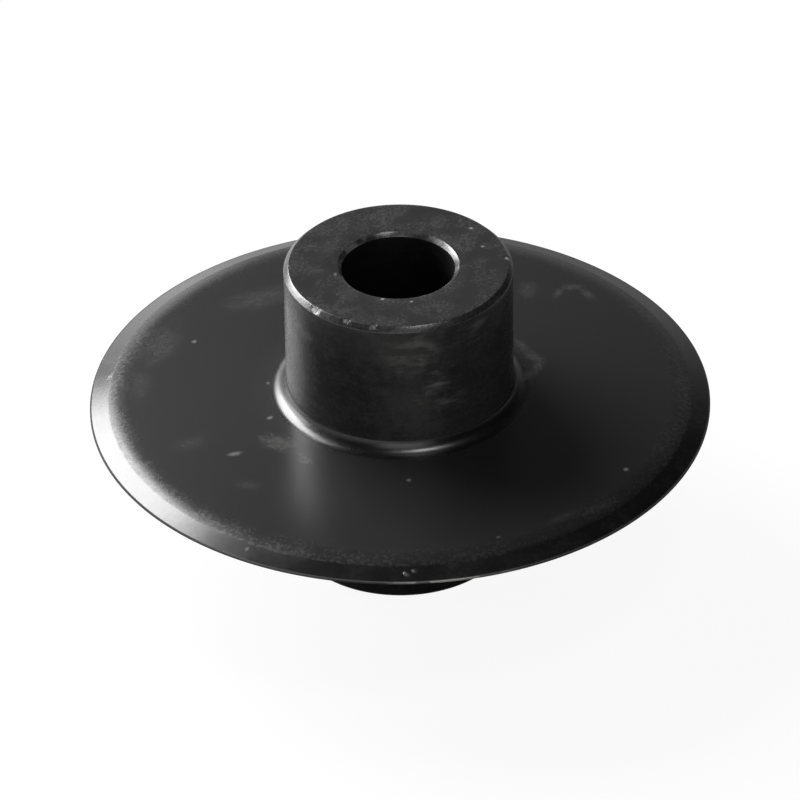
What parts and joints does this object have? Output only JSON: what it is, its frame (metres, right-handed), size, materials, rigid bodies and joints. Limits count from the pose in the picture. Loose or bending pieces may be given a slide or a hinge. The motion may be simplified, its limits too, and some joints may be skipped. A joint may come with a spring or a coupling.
{
  "type": "pipe cutter wheel",
  "caption": "Thin steel cutting disc with a ground, bevelled edge, between two long cylindrical hub stubs with a plain bore right through for the cutter's pin.",
  "frame": {"origin": "the wheel's centre: on the bore's axis, in the plane of the cutting edge", "axes": "+Z along the bore's axis, up out of the upper hub stub. The wheel is the same all round Z and above and below Z = 0."},
  "size_m": [0.053, 0.053, 0.0278],
  "materials": {
    "black_oxide_steel": "black oxide, lightly oiled, over turned and ground tool steel"
  },
  "bodies": {
    "root": {"cutter_wheel": "black_oxide_steel"}
  },
  "joints": []
}
